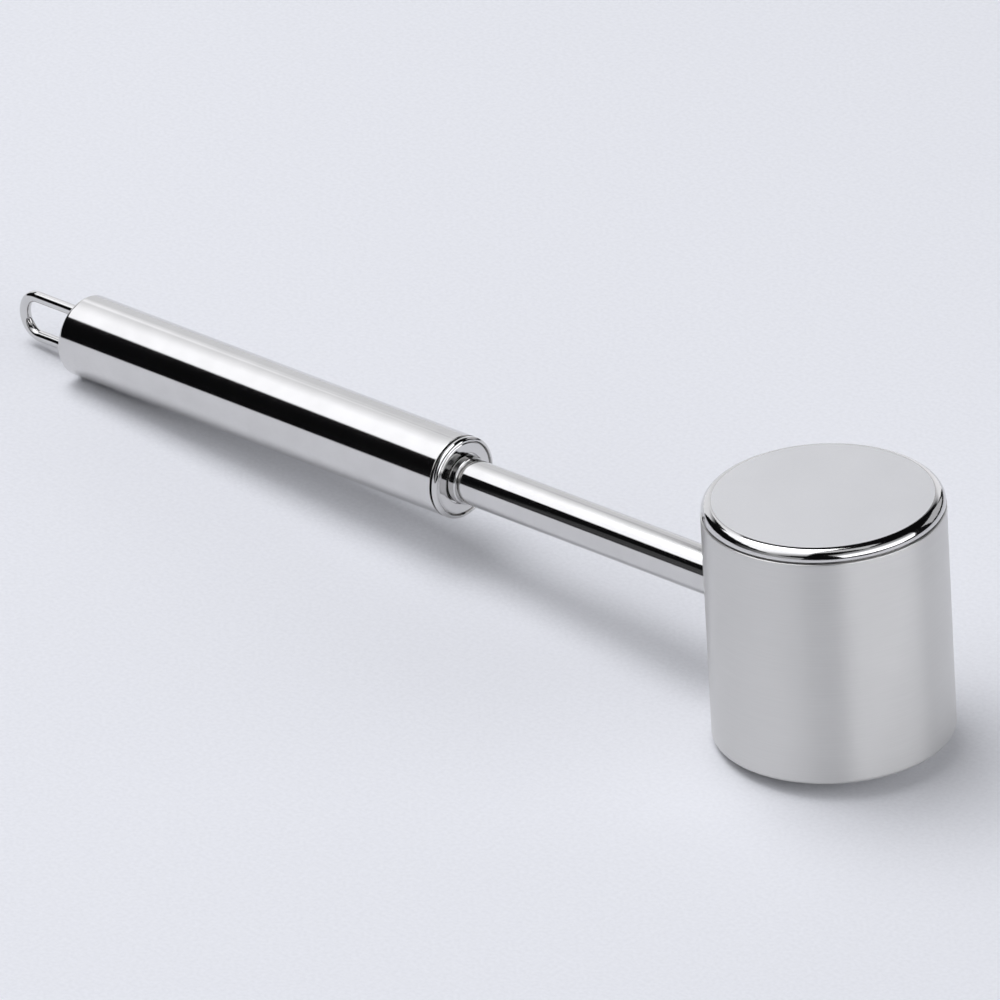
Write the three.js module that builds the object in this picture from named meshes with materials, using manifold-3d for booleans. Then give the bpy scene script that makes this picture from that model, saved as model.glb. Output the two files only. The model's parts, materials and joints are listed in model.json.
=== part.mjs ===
// Meat mallet: a hollow drawn steel head with a turned striking cap, a tubular stem, and a hollow handle
// with a wire hanging loop. Millimetres, +Z up. The mallet lies as it rests on a table, on the base edge
// of its head and on the tail of its handle, with the head towards +X.

import * as THREE from 'three';
import { mergeVertices } from 'three/addons/utils/BufferGeometryUtils.js';
import Module from 'manifold-3d';

// Head, about its own upright axis; heights are measured from the axis of the stem
const HEAD_RADIUS = 31;
const HEAD_WALL = 1.5;
const SHELL_BOTTOM = -31.5;
const SHELL_TOP = 31.35;
const BASE_EDGE_RADIUS = 1.2;
const CAP_EDGE_RADIUS = 2.7;
const CAP_INSET = 0.15;
const SPIGOT_DEPTH = 3;
const SPIGOT_WALL = 1.5;
const BACKING_THICKNESS = 3;

// Stem; distances along the handle are measured from the head's axis
const STEM_RADIUS = 6;
const STEM_WALL = 1.5;
const STEM_START = 6.6;
const STEM_END = 163;
const SOCKET_RADIUS = 9;
const SOCKET_FLOOR = 3.3;

// Handle
const HANDLE_RADIUS = 11;
const HANDLE_WALL = 1;
const HANDLE_FRONT = 128.1;
const HANDLE_TAIL = 263;
const TAIL_WALL = 1.5;
const TAIL_EDGE_RADIUS = 1.2;
const BEAD_WIDTH = 2;
const BEAD_RADIUS = 0.9;
const FACE_RECESS = 0.2;
const GROOVE_DEPTH = 0.35;
const PLUG_LENGTH = 5;
const COLLAR_RADIUS = 6.8;
const COLLAR_LENGTH = 2.2;
const COLLAR_EDGE_RADIUS = 0.45;
const CENTRING_DISC_PLACE = 156;
const CENTRING_DISC_THICKNESS = 3;

// Hanging loop: a U of wire through the tail, in the upright plane of the handle
const WIRE_RADIUS = 1.5;
const LEG_OFFSET = 5.8;
const LOOP_START = 256;
const BEND_START = 280.2;
const BEND_LENGTH = 5.3;
const ANCHOR_RADIUS = 9.2;
const ANCHOR_THICKNESS = 2.4;

// Clearance between neighbouring pieces
const FIT_GAP = 0.3;

const HEAD_SEGMENTS = 72;
const HANDLE_SEGMENTS = 56;
const STEM_SEGMENTS = 48;
const WIRE_SEGMENTS = 12;
const WIRE_STEPS = 52;
const HOLE_SEGMENTS = 24;
const EDGE_STEPS = 4;
const CAP_EDGE_STEPS = 6;

const wasm = await Module();
wasm.setup();

const satinSteel = { color: 0xc3c5c9, roughness: 0.38, metalness: 1 };
const polishedSteel = { color: 0xd6d8db, roughness: 0.06, metalness: 1 };
const plainSteel = { color: 0xa9abae, roughness: 0.5, metalness: 1 };

// Points of a round stretch of an outline, angles in degrees from the outward radius
function arc(centreRadius, centreHeight, radius, from, to, steps) {
  const points = [];
  for (let i = 0; i <= steps; i += 1) {
    const angle = THREE.MathUtils.degToRad(from + ((to - from) * i) / steps);
    points.push([centreRadius + radius * Math.cos(angle), centreHeight + radius * Math.sin(angle)]);
  }
  return points;
}

// An outline of [radius, height] points turned about the head's upright axis
function turnedOnHead(outline, segments = HEAD_SEGMENTS) {
  const points = outline.map(([radius, height]) => new THREE.Vector2(radius, height));
  return new THREE.LatheGeometry(points, segments, Math.PI / segments).rotateX(Math.PI / 2);
}

// An outline of [radius, distance from the head] points turned about the handle's axis
function turnedOnHandle(outline, segments) {
  const points = outline.map(([radius, distance]) => new THREE.Vector2(radius, distance));
  return new THREE.LatheGeometry(points, segments, Math.PI / segments).rotateZ(Math.PI / 2);
}

// The outline of a plain ring or tube
function ringOutline(inner, outer, start, end) {
  return [
    [inner, start],
    [outer, start],
    [outer, end],
    [inner, end],
    [inner, start],
  ];
}

// The outline of a plain disc or rod
function discOutline(radius, start, end) {
  return [
    [0, start],
    [radius, start],
    [radius, end],
    [0, end],
  ];
}

// A closed geometry as a solid for joining and cutting
function solidOf(geometry) {
  const bare = geometry.clone();
  bare.deleteAttribute('normal');
  bare.deleteAttribute('uv');
  const merged = mergeVertices(bare);
  const index = merged.index.array;
  const triangles = [];
  for (let i = 0; i < index.length; i += 3) {
    const [a, b, c] = [index[i], index[i + 1], index[i + 2]];
    if (a !== b && b !== c && c !== a) triangles.push(a, b, c);
  }
  const vertProperties = new Float32Array(merged.attributes.position.array);
  const triVerts = new Uint32Array(triangles);
  return new wasm.Manifold(new wasm.Mesh({ numProp: 3, vertProperties, triVerts }));
}

function geometryOf(solid) {
  const { vertProperties, triVerts } = solid.getMesh();
  const geometry = new THREE.BufferGeometry();
  geometry.setAttribute('position', new THREE.BufferAttribute(vertProperties, 3));
  geometry.setIndex(new THREE.BufferAttribute(triVerts, 1));
  geometry.computeVertexNormals();
  return geometry;
}

function cut(geometry, ...tools) {
  let solid = solidOf(geometry);
  for (const tool of tools) solid = solid.subtract(solidOf(tool));
  return geometryOf(solid);
}

// The two holes that the legs of the hanging loop pass through
function legHoles(start, end) {
  const outline = discOutline(WIRE_RADIUS + FIT_GAP, start, end);
  const heights = [-LEG_OFFSET, LEG_OFFSET];
  return heights.map((height) => turnedOnHandle(outline, HOLE_SEGMENTS).translate(0, 0, height));
}

function headShell() {
  const inner = HEAD_RADIUS - HEAD_WALL;
  const edge = BASE_EDGE_RADIUS;
  const cup = turnedOnHead([
    [0, SHELL_BOTTOM],
    ...arc(HEAD_RADIUS - edge, SHELL_BOTTOM + edge, edge, -90, 0, EDGE_STEPS),
    [HEAD_RADIUS, SHELL_TOP],
    [inner, SHELL_TOP],
    [inner, SHELL_BOTTOM + HEAD_WALL],
    [0, SHELL_BOTTOM + HEAD_WALL],
  ]);
  const stemHole = turnedOnHandle(
    discOutline(STEM_RADIUS + FIT_GAP, inner - HEAD_WALL, HEAD_RADIUS + HEAD_WALL),
    STEM_SEGMENTS,
  );
  return cut(cup, stemHole);
}

function strikingCap() {
  const bottom = SHELL_TOP + FIT_GAP;
  const top = bottom + CAP_EDGE_RADIUS;
  const edgeCentre = HEAD_RADIUS - CAP_INSET - CAP_EDGE_RADIUS;
  const spigot = HEAD_RADIUS - HEAD_WALL - FIT_GAP;
  return turnedOnHead([
    [0, bottom],
    [spigot - SPIGOT_WALL, bottom],
    [spigot - SPIGOT_WALL, bottom - SPIGOT_DEPTH],
    [spigot, bottom - SPIGOT_DEPTH],
    [spigot, bottom],
    ...arc(edgeCentre, bottom, CAP_EDGE_RADIUS, 0, 90, CAP_EDGE_STEPS),
    [0, top],
  ]);
}

function baseBackingPlate() {
  const radius = HEAD_RADIUS - HEAD_WALL - FIT_GAP;
  const bottom = SHELL_BOTTOM + HEAD_WALL + FIT_GAP;
  return turnedOnHead(discOutline(radius, bottom, bottom + BACKING_THICKNESS));
}

// A blind bush inside the head, its mouth shaped to the round wall
function stemSocket() {
  const bore = STEM_RADIUS + FIT_GAP;
  const floor = STEM_START - FIT_GAP;
  const bush = turnedOnHandle(
    [
      [0, floor - SOCKET_FLOOR],
      [SOCKET_RADIUS, floor - SOCKET_FLOOR],
      [SOCKET_RADIUS, HEAD_RADIUS],
      [bore, HEAD_RADIUS],
      [bore, floor],
      [0, floor],
    ],
    STEM_SEGMENTS,
  );
  const room = turnedOnHead(discOutline(HEAD_RADIUS - HEAD_WALL - FIT_GAP, -HEAD_RADIUS, HEAD_RADIUS));
  return geometryOf(solidOf(bush).intersect(solidOf(room)));
}

function stemTube() {
  const outline = ringOutline(STEM_RADIUS - STEM_WALL, STEM_RADIUS, STEM_START, STEM_END);
  return turnedOnHandle(outline, STEM_SEGMENTS);
}

function stemCollar() {
  const end = HANDLE_FRONT - FIT_GAP - BEAD_WIDTH + FACE_RECESS - FIT_GAP;
  const start = end - COLLAR_LENGTH;
  const edge = COLLAR_EDGE_RADIUS;
  const inner = STEM_RADIUS + FIT_GAP;
  return turnedOnHandle(
    [
      [inner, start],
      ...arc(COLLAR_RADIUS - edge, start + edge, edge, -90, 0, EDGE_STEPS),
      [COLLAR_RADIUS, end],
      [inner, end],
      [inner, start],
    ],
    STEM_SEGMENTS,
  );
}

// A turned plug with a rounded bead against the tube's lip and a flat face inside a fine groove
function handleEndCap() {
  const bore = STEM_RADIUS + FIT_GAP;
  const plug = HANDLE_RADIUS - HANDLE_WALL - FIT_GAP;
  const beadBack = HANDLE_FRONT - FIT_GAP;
  const beadFront = beadBack - BEAD_WIDTH;
  const face = beadFront + FACE_RECESS;
  const beadCentre = HANDLE_RADIUS - BEAD_RADIUS;
  return turnedOnHandle(
    [
      [bore, face],
      [beadCentre - GROOVE_DEPTH, face],
      [beadCentre - GROOVE_DEPTH / 2, face + GROOVE_DEPTH],
      ...arc(beadCentre, beadFront + BEAD_RADIUS, BEAD_RADIUS, -90, 0, EDGE_STEPS),
      ...arc(beadCentre, beadBack - BEAD_RADIUS, BEAD_RADIUS, 0, 90, EDGE_STEPS),
      [plug, beadBack],
      [plug, beadBack + PLUG_LENGTH],
      [bore, beadBack + PLUG_LENGTH],
      [bore, face],
    ],
    HANDLE_SEGMENTS,
  );
}

function stemCentringDisc() {
  const start = CENTRING_DISC_PLACE;
  const outline = ringOutline(
    STEM_RADIUS + FIT_GAP,
    HANDLE_RADIUS - HANDLE_WALL - FIT_GAP,
    start,
    start + CENTRING_DISC_THICKNESS,
  );
  return turnedOnHandle(outline, STEM_SEGMENTS);
}

// A drawn tube, open at the front and closed at the tail
function handleTube() {
  const inner = HANDLE_RADIUS - HANDLE_WALL;
  const edgeCentre = HANDLE_RADIUS - TAIL_EDGE_RADIUS;
  const edgePlace = HANDLE_TAIL - TAIL_EDGE_RADIUS;
  const tube = turnedOnHandle(
    [
      [0, HANDLE_TAIL - TAIL_WALL],
      [inner, HANDLE_TAIL - TAIL_WALL],
      [inner, HANDLE_FRONT],
      [HANDLE_RADIUS, HANDLE_FRONT],
      ...arc(edgeCentre, edgePlace, TAIL_EDGE_RADIUS, 0, 90, EDGE_STEPS),
      [0, HANDLE_TAIL],
    ],
    HANDLE_SEGMENTS,
  );
  return cut(tube, ...legHoles(HANDLE_TAIL - 2 * TAIL_WALL, HANDLE_TAIL + TAIL_WALL));
}

function loopAnchorPlate() {
  const end = HANDLE_TAIL - TAIL_WALL - FIT_GAP;
  const start = end - ANCHOR_THICKNESS;
  const plate = turnedOnHandle(discOutline(ANCHOR_RADIUS, start, end), STEM_SEGMENTS);
  return cut(plate, ...legHoles(start - FIT_GAP, end + FIT_GAP));
}

// The half-oval bend that joins the two legs of the loop
class LoopBend extends THREE.Curve {
  getPoint(t, target = new THREE.Vector3()) {
    const angle = Math.PI * (0.5 - t);
    const distance = BEND_START + BEND_LENGTH * Math.cos(angle);
    return target.set(-distance, 0, LEG_OFFSET * Math.sin(angle));
  }
}

function hangingLoop() {
  const at = (distance, height) => new THREE.Vector3(-distance, 0, height);
  const path = new THREE.CurvePath();
  path.add(new THREE.LineCurve3(at(LOOP_START, LEG_OFFSET), at(BEND_START, LEG_OFFSET)));
  path.add(new LoopBend());
  path.add(new THREE.LineCurve3(at(BEND_START, -LEG_OFFSET), at(LOOP_START, -LEG_OFFSET)));
  const section = new THREE.Shape();
  for (let i = 0; i < WIRE_SEGMENTS; i += 1) {
    const angle = (2 * Math.PI * i) / WIRE_SEGMENTS;
    const move = i === 0 ? 'moveTo' : 'lineTo';
    section[move](WIRE_RADIUS * Math.cos(angle), WIRE_RADIUS * Math.sin(angle));
  }
  section.closePath();
  return new THREE.ExtrudeGeometry(section, { steps: WIRE_STEPS, bevelEnabled: false, extrudePath: path });
}

function piece(name, geometry, finish) {
  const mesh = new THREE.Mesh(geometry, new THREE.MeshStandardMaterial(finish));
  mesh.name = name;
  return mesh;
}

const mallet = new THREE.Group();
mallet.add(
  piece('head_shell', headShell(), satinSteel),
  piece('striking_cap', strikingCap(), satinSteel),
  piece('base_backing_plate', baseBackingPlate(), plainSteel),
  piece('stem_socket', stemSocket(), plainSteel),
  piece('stem_tube', stemTube(), polishedSteel),
  piece('stem_collar', stemCollar(), polishedSteel),
  piece('handle_end_cap', handleEndCap(), polishedSteel),
  piece('stem_centring_disc', stemCentringDisc(), plainSteel),
  piece('handle_tube', handleTube(), polishedSteel),
  piece('loop_anchor_plate', loopAnchorPlate(), plainSteel),
  piece('hanging_loop', hangingLoop(), polishedSteel),
);

// Both edges that touch the table have the same radius, so the table is parallel to the line that joins
// their centres.
const edgeDrop = HANDLE_RADIUS - TAIL_EDGE_RADIUS + SHELL_BOTTOM + BASE_EDGE_RADIUS;
const edgeSpan = HANDLE_TAIL - TAIL_EDGE_RADIUS - (HEAD_RADIUS - BASE_EDGE_RADIUS);
mallet.rotation.y = Math.atan2(edgeDrop, edgeSpan);

const part = new THREE.Group();
part.add(mallet);
part.updateMatrixWorld(true);
const bounds = new THREE.Box3().setFromObject(mallet, true);
const centre = bounds.getCenter(new THREE.Vector3());
part.position.set(-centre.x, -centre.y, -bounds.min.z);

export default part;
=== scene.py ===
"""The finished look of an all-steel meat mallet: a satin head with a mirror-polished rim, and a
mirror-polished stem, handle and hanging loop, lying on a white table under soft studio light.

Outlines are (radius, place, rounding) corners on the mallet's own axes. They and the lengths at
the top of the file are in millimetres. The table, the lights and the camera are in metres.
"""

import json
import math

import bmesh
import bpy
from mathutils import Matrix, Vector


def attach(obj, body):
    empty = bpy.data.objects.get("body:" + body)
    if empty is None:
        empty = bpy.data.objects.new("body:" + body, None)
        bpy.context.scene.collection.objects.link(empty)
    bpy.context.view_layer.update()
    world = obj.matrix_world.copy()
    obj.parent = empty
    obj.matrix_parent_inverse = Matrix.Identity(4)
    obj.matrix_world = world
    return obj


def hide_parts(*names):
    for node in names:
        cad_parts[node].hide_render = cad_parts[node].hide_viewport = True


MM = 0.001

# Fineness of the meshes
TURNS = 360
STEM_TURNS = 192
ROUNDING_STEPS = 20
SUPPORT = 0.05
LONGEST_RING = 4.0
WIRE_SIDES = 48
BEND_STEPS = 96
SHARP_EDGE = math.radians(28)
HAIR = 0.0001

# What each finished mesh carries for its material
OWN_PLACE = "own_place"
TURNING_WAY = "turning_way"

# Head, where the CAD boxes don't say. The lip drop and the undercut make the dark seam under the
# cap
HEAD_WALL = 1.5
BASE_ROUNDING = 1.27
INNER_ROUNDING = 0.3
LIP_ROUNDING = 0.35
LIP_DROP = 0.5
CAP_ROUNDING = 2.7
CAP_UNDERCUT = 0.3
SPIGOT_RADIUS = 29.2
SPIGOT_WALL = 1.5
HOLE_CLEARANCE = 0.08

# Handle, where the CAD boxes don't say
TUBE_WALL = 1.0
TAIL_WALL = 1.5
TAIL_ROUNDING = 1.27
TUBE_LIP_ROUNDING = 0.12
FIT_GAP = 0.3
BEAD_ROUNDING = 0.9
GROOVE_RADIUS = 9.95
GROOVE_WIDTH = 0.2
GROOVE_DEPTH = 0.6
FACE_RECESS = 0.2
FACE_ROUNDING = 0.8
RECESS_RADIUS = 6.85
RECESS_DEPTH = 0.8
RECESS_ROUNDING = 0.15
PLUG_RADIUS = 9.7
STEM_WALL = 1.5
COLLAR_PROUD = 0.45
COLLAR_ROUNDING = 0.42
COLLAR_TUCK = 0.6
SLIDING_FIT = 0.02
BEND_LENGTH = 5.3

# The rounder curves here would pass the CAD box by a hair, so the cap and the loop stop this much
# short of it
CAP_DROP = 0.012
LOOP_TRIM = 0.035

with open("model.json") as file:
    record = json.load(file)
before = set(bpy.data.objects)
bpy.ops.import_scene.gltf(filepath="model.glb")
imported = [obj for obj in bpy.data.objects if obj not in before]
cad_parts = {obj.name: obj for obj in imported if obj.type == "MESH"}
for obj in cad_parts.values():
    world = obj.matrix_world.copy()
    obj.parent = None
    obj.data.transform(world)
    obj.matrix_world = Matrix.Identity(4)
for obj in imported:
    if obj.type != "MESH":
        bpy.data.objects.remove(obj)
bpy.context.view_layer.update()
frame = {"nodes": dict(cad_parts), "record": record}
record = frame["record"]


# --- The mallet's own axes ------------------------------------------------------------------------


def mallet_axes():
    """From the mallet's own axes to the row frame: X runs along the handle to the head, Z up the
    head, and the origin is the centre of the base."""
    mounts = {mount["name"]: mount for mount in record["mounts"]}
    up = Vector(mounts["striking_face"]["axis"]).normalized()
    side = Vector((0, 1, 0))
    ahead = side.cross(up)
    turn = Matrix((ahead, side, up)).transposed().to_4x4()
    return Matrix.Translation(mounts["base_face"]["pos_m"]) @ turn


HEAD_AXES = mallet_axes()


def extent(node):
    """Lowest and highest corner of a CAD node along the mallet's own axes, in millimetres."""
    to_own = HEAD_AXES.inverted()
    points = [to_own @ vertex.co / MM for vertex in frame["nodes"][node].data.vertices]
    low = Vector(min(point[i] for point in points) for i in range(3))
    high = Vector(max(point[i] for point in points) for i in range(3))
    return low, high


SHELL_LOW, SHELL_HIGH = extent("head_shell")
CAP_LOW, CAP_HIGH = extent("striking_cap")
STEM_LOW, STEM_HIGH = extent("stem_tube")
COLLAR_LOW, COLLAR_HIGH = extent("stem_collar")
END_CAP_LOW, END_CAP_HIGH = extent("handle_end_cap")
TUBE_LOW, TUBE_HIGH = extent("handle_tube")
LOOP_LOW, LOOP_HIGH = extent("hanging_loop")

HEAD_RADIUS = SHELL_HIGH.x
CAP_RADIUS = CAP_HIGH.x
STEM_RADIUS = (STEM_HIGH.z - STEM_LOW.z) / 2
TUBE_RADIUS = (TUBE_HIGH.z - TUBE_LOW.z) / 2
WIRE_RADIUS = LOOP_HIGH.y
STEM_HEIGHT = (STEM_HIGH.z + STEM_LOW.z) / 2

# A piece turned about the handle has its radius across the handle and its place measured back from
# the head
HANDLE_AXES = (
    HEAD_AXES
    @ Matrix.Translation((0, 0, STEM_HEIGHT * MM))
    @ Matrix(((0, 0, -1, 0), (0, 1, 0, 0), (1, 0, 0, 0), (0, 0, 0, 1)))
)


# --- Materials ------------------------------------------------------------------------------------


def linear(code):
    """An sRGB hex colour as linear RGBA."""
    parts = [int(code[i : i + 2], 16) / 255 for i in (1, 3, 5)]
    return (*[p / 12.92 if p <= 0.04045 else ((p + 0.055) / 1.055) ** 2.4 for p in parts], 1)


def node(tree, kind, settings=(), stops=(), **links):
    """Adds a node with its settings, and with a colour ramp's (position, hex) stops. A link names
    an input socket: a socket to join to it, or its value."""
    made = tree.nodes.new(kind)
    for name, value in dict(settings).items():
        setattr(made, name, value)
    for i, (position, code) in enumerate(stops):
        elements = made.color_ramp.elements
        element = elements[i] if i < len(elements) else elements.new(position)
        element.position = position
        element.color = linear(code)
    for name, value in links.items():
        socket = made.inputs[int(name[1:]) if name[1:].isdigit() else name.replace("_", " ")]
        if isinstance(value, bpy.types.NodeSocket):
            tree.links.new(value, socket)
        else:
            socket.default_value = value
    return made


def steel(name, **surface):
    """A new metal material, its tree and its Principled node."""
    material = bpy.data.materials.new(name)
    material.use_nodes = True
    tree = material.node_tree
    shader = tree.nodes["Principled BSDF"]
    shader.inputs["Metallic"].default_value = 1
    for key, value in surface.items():
        shader.inputs[key.replace("_", " ")].default_value = value
    return material, tree, shader


def turning_lines(tree, place, spacing, drift):
    """Noise drawn out along the lines that turning leaves: spacing millimetres from line to line,
    and drift along them. The lines run round a wall and in circles on a flat end."""
    x, y, z = node(tree, "ShaderNodeSeparateXYZ", Vector=place).outputs
    squares = [node(tree, "ShaderNodeMath", {"operation": "POWER"}, _0=s, _1=2.0).outputs[0] for s in (x, y)]
    total = node(tree, "ShaderNodeMath", {"operation": "ADD"}, _0=squares[0], _1=squares[1])
    radius = node(tree, "ShaderNodeMath", {"operation": "SQRT"}, _0=total.outputs[0])
    outline = node(tree, "ShaderNodeMath", {"operation": "SUBTRACT"}, _0=radius.outputs[0], _1=z)
    scaled = [
        node(tree, "ShaderNodeMath", {"operation": "DIVIDE"}, _0=socket, _1=length).outputs[0]
        for socket, length in ((x, drift), (y, drift), (outline.outputs[0], spacing))
    ]
    spread = node(tree, "ShaderNodeCombineXYZ", _0=scaled[0], _1=scaled[1], _2=scaled[2])
    return node(tree, "ShaderNodeTexNoise", Vector=spread.outputs[0], Scale=1.0, Detail=3.0).outputs["Fac"]


# Sizes of the patterns in millimetres: how far apart lines are and how far they run, how broad
# grain, clouds and waves are, and how deep the finest marks go. The last one is a count
BELT_SPACING = 0.3
BELT_DRIFT = 14.0
LAPPED_GRAIN = 0.4
SATIN_CLOUDS = 18
SATIN_DEPTH = 0.01
BUFFED_SPACING = 0.25
BUFFED_WAVES = 9.0
BUFFED_DEPTH = 0.02
TOOL_SPACING = 0.4
TOOL_DRIFT = 30.0
TOOL_DEPTH = 0.02
LAMINATE_GRAINS_PER_METRE = 900.0


def satin_stainless():
    """Stainless steel finished with a fine abrasive belt while it turns. The lines round the head
    spread the light up and down but much less sideways, which gives the soft upright bands of light
    and shade. Real lines are about 0.05 mm apart; they are drawn 0.3 mm apart so that they show."""
    material, tree, shader = steel("satin_belted_stainless", Anisotropic=0.8, Anisotropic_Rotation=0.25)
    place = node(tree, "ShaderNodeAttribute", {"attribute_name": OWN_PLACE}).outputs["Vector"]
    way = node(tree, "ShaderNodeAttribute", {"attribute_name": TURNING_WAY}).outputs["Vector"]
    lines = turning_lines(tree, place, BELT_SPACING, BELT_DRIFT)
    clouds = node(tree, "ShaderNodeTexNoise", Vector=place, Scale=1 / SATIN_CLOUDS, Detail=2.0)
    halves = {"_0": 0.5, "_2": lines, "_3": clouds.outputs["Fac"]}
    mottle = node(tree, "ShaderNodeMix", {"data_type": "FLOAT"}, **halves).outputs[0]
    shade = node(tree, "ShaderNodeValToRGB", stops=((0.3, "#d8d7d5"), (0.7, "#dedddb")), Fac=mottle)
    rough = node(tree, "ShaderNodeMapRange", Value=mottle, To_Min=0.34, To_Max=0.4)
    bump = node(tree, "ShaderNodeBump", Height=lines, Strength=0.08, Distance=SATIN_DEPTH * MM)
    tree.links.new(shade.outputs["Color"], shader.inputs["Base Color"])
    tree.links.new(rough.outputs[0], shader.inputs["Roughness"])
    tree.links.new(bump.outputs[0], shader.inputs["Normal"])
    tree.links.new(way, shader.inputs["Tangent"])
    return material


def lapped_stainless():
    """Stainless steel rubbed flat on fine abrasive in every direction: an even silvery sheen with
    no lines, only a faint grain. The real grain is about 0.05 mm across; it is drawn 0.4 mm across
    so that it shows."""
    material, tree, shader = steel("satin_lapped_stainless")
    place = node(tree, "ShaderNodeAttribute", {"attribute_name": OWN_PLACE}).outputs["Vector"]
    noise = node(tree, "ShaderNodeTexNoise", Vector=place, Scale=1 / LAPPED_GRAIN, Detail=2.0)
    grain = noise.outputs["Fac"]
    clouds = node(tree, "ShaderNodeTexNoise", Vector=place, Scale=1 / SATIN_CLOUDS, Detail=2.0)
    halves = {"_0": 0.5, "_2": grain, "_3": clouds.outputs["Fac"]}
    mottle = node(tree, "ShaderNodeMix", {"data_type": "FLOAT"}, **halves).outputs[0]
    shade = node(tree, "ShaderNodeValToRGB", stops=((0.3, "#ebebec"), (0.7, "#f0f0f1")), Fac=mottle)
    rough = node(tree, "ShaderNodeMapRange", Value=mottle, To_Min=0.46, To_Max=0.52)
    bump = node(tree, "ShaderNodeBump", Height=grain, Strength=0.08, Distance=SATIN_DEPTH * MM)
    tree.links.new(shade.outputs["Color"], shader.inputs["Base Color"])
    tree.links.new(rough.outputs[0], shader.inputs["Roughness"])
    tree.links.new(bump.outputs[0], shader.inputs["Normal"])
    return material


def mirror_stainless():
    """Stainless steel buffed to a mirror: sharp reflections, with the faint haze and slight waves
    of hand buffing about 9 mm across. Its buffing lines are much finer than the 0.25 mm drawn here
    so that they show."""
    material, tree, shader = steel("mirror_buffed_stainless")
    place = node(tree, "ShaderNodeAttribute", {"attribute_name": OWN_PLACE}).outputs["Vector"]
    lines = turning_lines(tree, place, BUFFED_SPACING, BUFFED_WAVES)
    noise = node(tree, "ShaderNodeTexNoise", Vector=place, Scale=1 / BUFFED_WAVES, Detail=3.0)
    haze = noise.outputs["Fac"]
    blend = node(tree, "ShaderNodeMix", {"data_type": "FLOAT"}, _0=0.5, _2=lines, _3=haze).outputs[0]
    shade = node(tree, "ShaderNodeValToRGB", stops=((0.35, "#d2d1d0"), (0.65, "#d7d6d5")), Fac=haze)
    rough = node(tree, "ShaderNodeMapRange", Value=blend, To_Min=0.05, To_Max=0.1)
    bump = node(tree, "ShaderNodeBump", Height=haze, Strength=0.05, Distance=BUFFED_DEPTH * MM)
    tree.links.new(shade.outputs["Color"], shader.inputs["Base Color"])
    tree.links.new(rough.outputs[0], shader.inputs["Roughness"])
    tree.links.new(bump.outputs[0], shader.inputs["Normal"])
    return material


def turned_steel():
    """Plain turned mild steel of the pieces out of sight: dull, with clear tool lines 0.4 mm apart."""
    material, tree, shader = steel("turned_mild_steel", Roughness=0.5)
    place = node(tree, "ShaderNodeTexCoord").outputs["Object"]
    millimetres = node(tree, "ShaderNodeVectorMath", {"operation": "SCALE"}, Vector=place, Scale=1 / MM)
    lines = turning_lines(tree, millimetres.outputs[0], TOOL_SPACING, TOOL_DRIFT)
    shade = node(tree, "ShaderNodeValToRGB", stops=((0.3, "#a3a5a8"), (0.7, "#b2b4b6")), Fac=lines)
    bump = node(tree, "ShaderNodeBump", Height=lines, Strength=0.3, Distance=TOOL_DEPTH * MM)
    tree.links.new(shade.outputs["Color"], shader.inputs["Base Color"])
    tree.links.new(bump.outputs[0], shader.inputs["Normal"])
    return material


def matt_laminate():
    """Matt white laminate of the table, very slightly blue, with a fine paper-like grain about 1 mm
    across."""
    material = bpy.data.materials.new("matt_white_laminate")
    material.use_nodes = True
    tree = material.node_tree
    shader = tree.nodes["Principled BSDF"]
    shader.inputs["Roughness"].default_value = 0.75
    shader.inputs["Specular IOR Level"].default_value = 0.2
    place = node(tree, "ShaderNodeTexCoord").outputs["Object"]
    noise = node(tree, "ShaderNodeTexNoise", Vector=place, Scale=LAMINATE_GRAINS_PER_METRE, Detail=2.0)
    grain = noise.outputs["Fac"]
    shade = node(tree, "ShaderNodeValToRGB", stops=((0.3, "#e6e7eb"), (0.7, "#ecedf1")), Fac=grain)
    tree.links.new(shade.outputs["Color"], shader.inputs["Base Color"])
    return material


SATIN = satin_stainless()
LAPPED = lapped_stainless()
MIRROR = mirror_stainless()
TURNED = turned_steel()


# --- Meshes ---------------------------------------------------------------------------------------


def rounded(corners):
    """The outline through (radius, place, rounding) corners, each one turned into an arc of its
    rounding."""
    points = []
    for i, (radius, place, rounding) in enumerate(corners):
        corner = Vector((radius, place))
        if not rounding:
            points.append(corner)
            continue
        back = (Vector(corners[i - 1][:2]) - corner).normalized()
        on = (Vector(corners[(i + 1) % len(corners)][:2]) - corner).normalized()
        half = back.angle(on) / 2
        centre = corner + (back + on).normalized() * (rounding / math.sin(half))
        first = corner + back * (rounding / math.tan(half)) - centre
        last = corner + on * (rounding / math.tan(half)) - centre
        sweep = first.angle_signed(last)
        for step in range(ROUNDING_STEPS + 1):
            turn = Matrix.Rotation(-sweep * step / ROUNDING_STEPS, 2)
            points.append(centre + turn @ first)
    return points


def supported(points):
    """The outline with points added close to the ends of its straight stretches, which keep their
    shading flat, and along long ones."""
    full = []
    for i, start in enumerate(points):
        end = points[(i + 1) % len(points)]
        length = (end - start).length
        full.append(start)
        if start.x == 0 and end.x == 0 or length < 4 * SUPPORT:
            continue
        count = max(1, math.ceil(length / LONGEST_RING))
        places = [SUPPORT, *[length * step / count for step in range(1, count)], length - SUPPORT]
        full += [start.lerp(end, place / length) for place in places]
    return full


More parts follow.
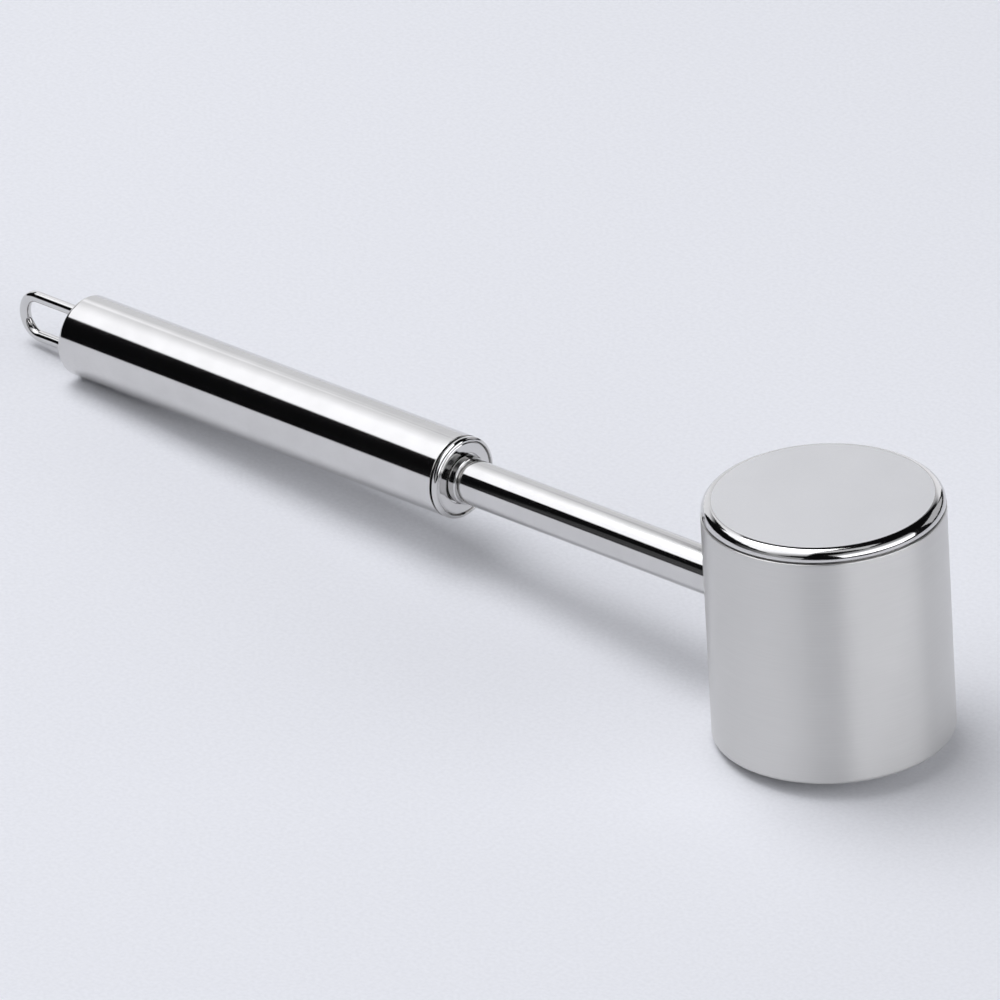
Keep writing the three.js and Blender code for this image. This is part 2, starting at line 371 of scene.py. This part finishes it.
def finished(name, mesh, axes, slot_name, *nodes):
    """The object for a mesh made on the given axes, riding on the mallet and standing for its CAD
    nodes. The mesh keeps each point's place on those axes, in millimetres, and the way it passed
    under the belt as it turned."""
    mesh.set_sharp_from_angle(angle=SHARP_EDGE)
    places = mesh.attributes.new(OWN_PLACE, "FLOAT_VECTOR", "POINT")
    places.data.foreach_set("vector", [part / MM for vertex in mesh.vertices for part in vertex.co])
    ways = mesh.attributes.new(TURNING_WAY, "FLOAT_VECTOR", "POINT")
    turn = axes.to_3x3()
    around = [Vector((-vertex.co.y, vertex.co.x, 0)).normalized() for vertex in mesh.vertices]
    ways.data.foreach_set("vector", [part for way in around for part in turn @ way])
    mesh.transform(axes)
    piece = bpy.data.objects.new(name, mesh)
    bpy.context.scene.collection.objects.link(piece)
    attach(piece, "root")
    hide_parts(*nodes)
    return piece


def turned_mesh(name, corners, turns=TURNS):
    """A closed outline turned about its axis. Corners on the axis have radius 0."""
    outline = supported(rounded(corners))
    made = bmesh.new()
    rings = []
    for point in outline:
        radius, place = point * MM
        if radius < HAIR * MM:
            rings.append([made.verts.new((0, 0, place))])
            continue
        angles = [2 * math.pi * turn / turns for turn in range(turns)]
        rings.append([made.verts.new((radius * math.cos(a), radius * math.sin(a), place)) for a in angles])
    for ring, following in zip(rings, rings[1:] + rings[:1]):
        if len(ring) == len(following) == 1:
            continue
        for turn in range(turns):
            ahead = (turn + 1) % turns
            around = [ring[turn % len(ring)], ring[ahead % len(ring)]]
            around += [following[ahead % len(following)], following[turn % len(following)]]
            made.faces.new(list(dict.fromkeys(around)))
    bmesh.ops.recalc_face_normals(made, faces=made.faces)
    for face in made.faces:
        face.smooth = True
    mesh = bpy.data.meshes.new(name)
    made.to_mesh(mesh)
    made.free()
    return mesh


def swept_mesh(name, path, radius):
    """Round wire along a path that stays in the local XZ plane."""
    made = bmesh.new()
    rings = []
    for i, point in enumerate(path):
        along = (path[min(i + 1, len(path) - 1)] - path[max(i - 1, 0)]).normalized()
        across = along.cross(Vector((0, 1, 0)))
        angles = [2 * math.pi * side / WIRE_SIDES for side in range(WIRE_SIDES)]
        offsets = [across * math.cos(a) + Vector((0, 1, 0)) * math.sin(a) for a in angles]
        rings.append([made.verts.new((point + offset * radius) * MM) for offset in offsets])
    for ring, following in zip(rings, rings[1:]):
        for side in range(WIRE_SIDES):
            ahead = (side + 1) % WIRE_SIDES
            made.faces.new([ring[side], ring[ahead], following[ahead], following[side]])
    made.faces.new(rings[0])
    made.faces.new(rings[-1])
    bmesh.ops.recalc_face_normals(made, faces=made.faces)
    for face in made.faces:
        face.smooth = True
    mesh = bpy.data.meshes.new(name)
    made.to_mesh(mesh)
    made.free()
    return mesh


def drilled(mesh, drills):
    """The mesh with round holes cut by drills, each one (start, end, radius) on the mesh's own
    axes."""
    body = bpy.data.objects.new("drilled_body", mesh)
    bpy.context.scene.collection.objects.link(body)
    tools = []
    for start, end, radius in drills:
        length = (end - start).length
        outline = [(0, 0, 0), (radius, 0, 0), (radius, length, 0), (0, length, 0)]
        tool = bpy.data.objects.new("drill", turned_mesh("drill", outline, STEM_TURNS))
        bpy.context.scene.collection.objects.link(tool)
        turn = (end - start).to_track_quat("Z", "Y").to_matrix().to_4x4()
        tool.matrix_world = Matrix.Translation(start * MM) @ turn
        hole = body.modifiers.new("hole", "BOOLEAN")
        hole.operation = "DIFFERENCE"
        hole.solver = "EXACT"
        hole.object = tool
        tools.append(tool)
    bpy.context.view_layer.update()
    cut = bpy.data.meshes.new_from_object(body.evaluated_get(bpy.context.evaluated_depsgraph_get()))
    cut.name = mesh.name
    for thing in [body, *tools]:
        bpy.data.objects.remove(thing)
    return cut


# --- Head -----------------------------------------------------------------------------------------


def head_shell():
    """A drawn cup, closed at the base, with the stem's hole in its wall."""
    inner = HEAD_RADIUS - HEAD_WALL
    floor = SHELL_LOW.z + HEAD_WALL
    lip = SHELL_HIGH.z - LIP_DROP
    cup = turned_mesh(
        "head_shell",
        [
            (0, SHELL_LOW.z, 0),
            (HEAD_RADIUS, SHELL_LOW.z, BASE_ROUNDING),
            (HEAD_RADIUS, lip, LIP_ROUNDING),
            (inner, lip, LIP_ROUNDING),
            (inner, floor, INNER_ROUNDING),
            (0, floor, 0),
        ],
    )
    start = Vector((-inner / 2, 0, STEM_HEIGHT))
    end = Vector((-2 * HEAD_RADIUS, 0, STEM_HEIGHT))
    shell = drilled(cup, [(start, end, STEM_RADIUS + HOLE_CLEARANCE)])
    shell.materials.append(SATIN)
    return finished("satin_head_shell", shell, HEAD_AXES, "satin_steel", "head_shell")


def striking_cap():
    """A turned disc with a flat satin face and a mirror-polished round edge, and a spigot inside
    the shell."""
    top = CAP_HIGH.z - CAP_DROP
    bottom = top - CAP_ROUNDING - CAP_UNDERCUT
    cap = turned_mesh(
        "striking_cap",
        [
            (0, top, 0),
            (CAP_RADIUS, top, CAP_ROUNDING),
            (CAP_RADIUS, bottom, CAP_UNDERCUT),
            (SPIGOT_RADIUS, bottom, 0),
            (SPIGOT_RADIUS, CAP_LOW.z, SUPPORT),
            (SPIGOT_RADIUS - SPIGOT_WALL, CAP_LOW.z, SUPPORT),
            (SPIGOT_RADIUS - SPIGOT_WALL, bottom, 0),
            (0, bottom, 0),
        ],
    )
    cap.materials.append(MIRROR)
    cap.materials.append(LAPPED)
    for face in cap.polygons:
        face.material_index = int(min(cap.vertices[i].co.z for i in face.vertices) > (top - HAIR) * MM)
    return finished("striking_cap_disc", cap, HEAD_AXES, "satin_steel", "striking_cap")


# --- Handle ---------------------------------------------------------------------------------------


def stem_tube():
    """A plain thin-walled tube from inside the head to inside the handle."""
    tube = turned_mesh(
        "stem_tube",
        [
            (STEM_RADIUS - STEM_WALL, -STEM_HIGH.x, SUPPORT),
            (STEM_RADIUS, -STEM_HIGH.x, SUPPORT),
            (STEM_RADIUS, -STEM_LOW.x, SUPPORT),
            (STEM_RADIUS - STEM_WALL, -STEM_LOW.x, SUPPORT),
        ],
        STEM_TURNS,
    )
    tube.materials.append(MIRROR)
    return finished("polished_stem_tube", tube, HANDLE_AXES, "polished_steel", "stem_tube")


def stem_collar():
    """A thin sleeve that runs into the handle's face, only a little proud of the stem."""
    inner = STEM_RADIUS + SLIDING_FIT
    outer = STEM_RADIUS + COLLAR_PROUD
    back = -COLLAR_LOW.x + COLLAR_TUCK
    collar = turned_mesh(
        "stem_collar",
        [
            (inner, -COLLAR_HIGH.x, 0),
            (outer, -COLLAR_HIGH.x, COLLAR_ROUNDING),
            (outer, back, SUPPORT),
            (inner, back, 0),
        ],
        STEM_TURNS,
    )
    collar.materials.append(MIRROR)
    return finished("polished_stem_collar", collar, HANDLE_AXES, "polished_steel", "stem_collar")


def handle_end_cap():
    """A turned plug with a round bead against the tube's lip, and inside a fine groove a flat face
    with a round shoulder and a shallow recess for the collar."""
    bore = STEM_RADIUS + SLIDING_FIT
    bead_front = -END_CAP_HIGH.x
    bead_back = -TUBE_HIGH.x - FIT_GAP
    face = bead_front + FACE_RECESS
    plug = turned_mesh(
        "handle_end_cap",
        [
            (bore, face + RECESS_DEPTH, 0),
            (RECESS_RADIUS, face + RECESS_DEPTH, 0),
            (RECESS_RADIUS, face, RECESS_ROUNDING),
            (GROOVE_RADIUS - GROOVE_WIDTH, face, FACE_ROUNDING),
            (GROOVE_RADIUS, face + GROOVE_DEPTH, 0),
            (TUBE_RADIUS - BEAD_ROUNDING, bead_front, 0),
            (TUBE_RADIUS, bead_front, BEAD_ROUNDING),
            (TUBE_RADIUS, bead_back, BEAD_ROUNDING),
            (PLUG_RADIUS, bead_back, 0),
            (PLUG_RADIUS, -END_CAP_LOW.x, SUPPORT),
            (bore, -END_CAP_LOW.x, SUPPORT),
        ],
    )
    plug.materials.append(MIRROR)
    return finished("polished_handle_end_cap", plug, HANDLE_AXES, "polished_steel", "handle_end_cap")


def leg_height():
    """How far each leg of the loop is from the handle's axis."""
    return (LOOP_HIGH.z - LOOP_LOW.z) / 2 - WIRE_RADIUS


def handle_tube():
    """A drawn tube, open at the front and closed at the tail, where the loop's two legs go in."""
    inner = TUBE_RADIUS - TUBE_WALL
    tail = -TUBE_LOW.x
    front = -TUBE_HIGH.x
    tube = turned_mesh(
        "handle_tube",
        [
            (0, tail, 0),
            (TUBE_RADIUS, tail, TAIL_ROUNDING),
            (TUBE_RADIUS, front, TUBE_LIP_ROUNDING),
            (inner, front, TUBE_LIP_ROUNDING),
            (inner, tail - TAIL_WALL, SUPPORT),
            (0, tail - TAIL_WALL, 0),
        ],
    )
    holes = []
    for side in (-1, 1):
        start = Vector((side * leg_height(), 0, tail - 2 * TAIL_WALL))
        end = Vector((side * leg_height(), 0, tail + TAIL_WALL))
        holes.append((start, end, WIRE_RADIUS + HOLE_CLEARANCE))
    tube = drilled(tube, holes)
    tube.materials.append(MIRROR)
    return finished("polished_handle_tube", tube, HANDLE_AXES, "polished_steel", "handle_tube")


def hanging_loop():
    """A U of round wire, its two legs joined by a half-oval bend."""
    height = leg_height()
    start = -LOOP_HIGH.x
    bend = -LOOP_LOW.x - WIRE_RADIUS - BEND_LENGTH - LOOP_TRIM
    path = [Vector((height, 0, start)), Vector((height, 0, start + SUPPORT))]
    for step in range(BEND_STEPS + 1):
        angle = math.pi * step / BEND_STEPS
        path.append(Vector((height * math.cos(angle), 0, bend + BEND_LENGTH * math.sin(angle))))
    path += [Vector((-height, 0, start + SUPPORT)), Vector((-height, 0, start))]
    wire = swept_mesh("hanging_loop", path, WIRE_RADIUS)
    wire.materials.append(MIRROR)
    return finished("polished_hanging_loop", wire, HANDLE_AXES, "polished_steel", "hanging_loop")


head_shell()
striking_cap()
stem_tube()
stem_collar()
handle_end_cap()
handle_tube()
hanging_loop()

for inner_piece in ("base_backing_plate", "stem_socket", "stem_centring_disc", "loop_anchor_plate"):
    inner_mesh = frame["nodes"][inner_piece].data
    inner_mesh.materials.clear()
    inner_mesh.materials.append(TURNED)


# --- Table, light and camera ----------------------------------------------------------------------

TABLE_RADIUS = 6.0
TABLE_SIDES = 128


def table():
    """A wide round table top, plain enough to read as an endless pale floor."""
    made = bmesh.new()
    bmesh.ops.create_circle(made, cap_ends=True, segments=TABLE_SIDES, radius=TABLE_RADIUS)
    mesh = bpy.data.meshes.new("table_top")
    made.to_mesh(mesh)
    made.free()
    mesh.materials.append(matt_laminate())
    board = bpy.data.objects.new("table_top", mesh)
    bpy.context.scene.collection.objects.link(board)


def toward(heading, height):
    """The direction at a heading from +X to +Y and a height above the table, in degrees."""
    heading = math.radians(heading)
    height = math.radians(height)
    level = Vector((math.cos(heading), math.sin(heading), 0))
    return level * math.cos(height) + Vector((0, 0, math.sin(height)))


def softbox(
    name, aim, heading, height, distance, width, depth, radiance, slide=0.0, lift=0.0, fade=(), fall=()
):
    """A rectangular light panel that faces aim. Slide and lift move it sideways and up in its own
    plane. Fade holds its shades along its width and fall holds them up its height."""
    light = bpy.data.lights.new(name, "AREA")
    light.shape = "RECTANGLE"
    light.size = width
    light.size_y = depth
    light.energy = radiance * math.pi * width * depth
    light.color = linear(LIGHT_SHADE)[:3]
    if fade or fall:
        light.use_nodes = True
        tree = light.node_tree
        spread = node(tree, "ShaderNodeNewGeometry").outputs["Parametric"]
        parts = node(tree, "ShaderNodeSeparateXYZ", Vector=spread).outputs
        shades = [
            node(tree, "ShaderNodeValToRGB", stops=stops, Fac=part).outputs["Color"]
            for part, stops in zip(parts, (fade, fall))
            if stops
        ]
        if len(shades) == 2:
            multiply = {"operation": "MULTIPLY"}
            shades = node(tree, "ShaderNodeVectorMath", multiply, _0=shades[0], _1=shades[1]).outputs
        tree.links.new(shades[0], tree.nodes["Emission"].inputs["Color"])
    back = toward(heading, height)
    across = Vector((0, 0, 1)).cross(back).normalized()
    up = back.cross(across)
    panel = bpy.data.objects.new(name, light)
    bpy.context.scene.collection.objects.link(panel)
    turn = Matrix((across, up, back)).transposed().to_4x4()
    panel.matrix_world = Matrix.Translation(aim + back * distance + across * slide + up * lift) @ turn
    panel.visible_camera = False


# The dark room and the slightly cool lights
ROOM_GLOW = (0.004, 0.004, 0.0045, 1)
LIGHT_SHADE = "#fafbff"

# The left softbox and its wing lie in one plane and join end to end, so that the long highlight has
# no break
LEFT_PLANE = {"heading": 205, "height": 50, "distance": 2.0}
LEFT_WIDTH = 3.83
LEFT_SLIDE = 1.08
WING_WIDTH = 2.465
WING_SLIDE = LEFT_SLIDE - (LEFT_WIDTH + WING_WIDTH) / 2
HEAD_FOOT = Vector((0.1, 0, 0))

# Shades along a panel's width, or up its height
LEFT_FADE = ((0.0, "#ffffff"), (0.5, "#ffffff"), (0.75, "#a8a8a8"), (1.0, "#8c8c8c"))
WING_FADE = ((0.0, "#000000"), (0.25, "#6e6e6e"), (0.42, "#cccccc"), (0.75, "#e6e6e6"), (1.0, "#ffffff"))
BACK_FADE = ((0.0, "#b4b4b4"), (0.3, "#b4b4b4"), (0.39, "#9c9c9c"), (0.53, "#a5a5a5"), (0.63, "#adadad"))
BACK_FALL = ((0.0, "#ffffff"), (0.75, "#ffffff"), (1.0, "#000000"))
RIGHT_FALL = ((0.0, "#ffffff"), (0.3, "#ffffff"), (0.7, "#7c7c7c"), (1.0, "#5a5a5a"))
FRONT_FADE = ((0.0, "#646464"), (0.2, "#8c8c8c"), (0.6, "#ffffff"), (1.0, "#ffffff"))


def studio():
    """A dark room with a few panels. The left ones give the broad highlight of the handle and the
    stem, the key gives the soft shadow, the right one the bright band of the head, and the low
    cards fill the mirror steel."""
    world = bpy.data.worlds.new("dark_studio")
    world.use_nodes = True
    world.node_tree.nodes["Background"].inputs["Color"].default_value = ROOM_GLOW
    bpy.context.scene.world = world
    face = Vector({m["name"]: m for m in record["mounts"]}["striking_face"]["pos_m"])
    softbox(
        "left_softbox", face, **LEFT_PLANE,
        width=LEFT_WIDTH, depth=2.0, radiance=1.5, slide=LEFT_SLIDE, lift=0.4, fade=LEFT_FADE,
    )
    softbox(
        "left_wing", face, **LEFT_PLANE,
        width=WING_WIDTH, depth=0.42, radiance=1.5, slide=WING_SLIDE, lift=-0.09, fade=WING_FADE,
    )
    softbox(
        "key_softbox", face, heading=180, height=62, distance=2.0,
        width=1.3, depth=1.2, radiance=3.1,
    )
    softbox(
        "right_softbox", face, heading=5, height=34, distance=1.7,
        width=2.6, depth=1.5, radiance=2.7, fall=RIGHT_FALL,
    )
    softbox(
        "back_card", face, heading=140, height=14, distance=2.0,
        width=2.5, depth=1.2, radiance=2.4, fade=BACK_FADE, fall=BACK_FALL,
    )
    softbox(
        "back_right_card", face, heading=84, height=20, distance=2.0,
        width=1.3, depth=0.9, radiance=0.6,
    )
    softbox(
        "overhead_card", face, heading=312, height=85, distance=1.8,
        width=1.6, depth=0.7, radiance=0.7,
    )
    softbox(
        "front_grey_card", HEAD_FOOT, heading=258, height=13, distance=0.85,
        width=1.1, depth=0.3, radiance=0.4, slide=0.03, fade=FRONT_FADE,
    )
    bpy.context.scene.view_settings.view_transform = "Standard"


CAMERA_PLACE = Vector((2.1083, -2.2704, 1.8551))
CAMERA_AIM = Vector((0.0553, -0.0456, 0.0584))
CAMERA_ROLL = math.radians(0.67)
CAMERA_LENS = 504


def camera():
    """A long lens from the front right, so that the mallet keeps its true proportions."""
    data = bpy.data.cameras.new("camera")
    data.lens = CAMERA_LENS
    data.sensor_width = 36
    data.clip_start = 0.1
    data.clip_end = 50
    eye = bpy.data.objects.new("camera", data)
    bpy.context.scene.collection.objects.link(eye)
    look = (CAMERA_AIM - CAMERA_PLACE).to_track_quat("-Z", "Y").to_matrix().to_4x4()
    eye.matrix_world = Matrix.Translation(CAMERA_PLACE) @ look @ Matrix.Rotation(CAMERA_ROLL, 4, "Z")
    bpy.context.scene.camera = eye


table()
studio()
camera()
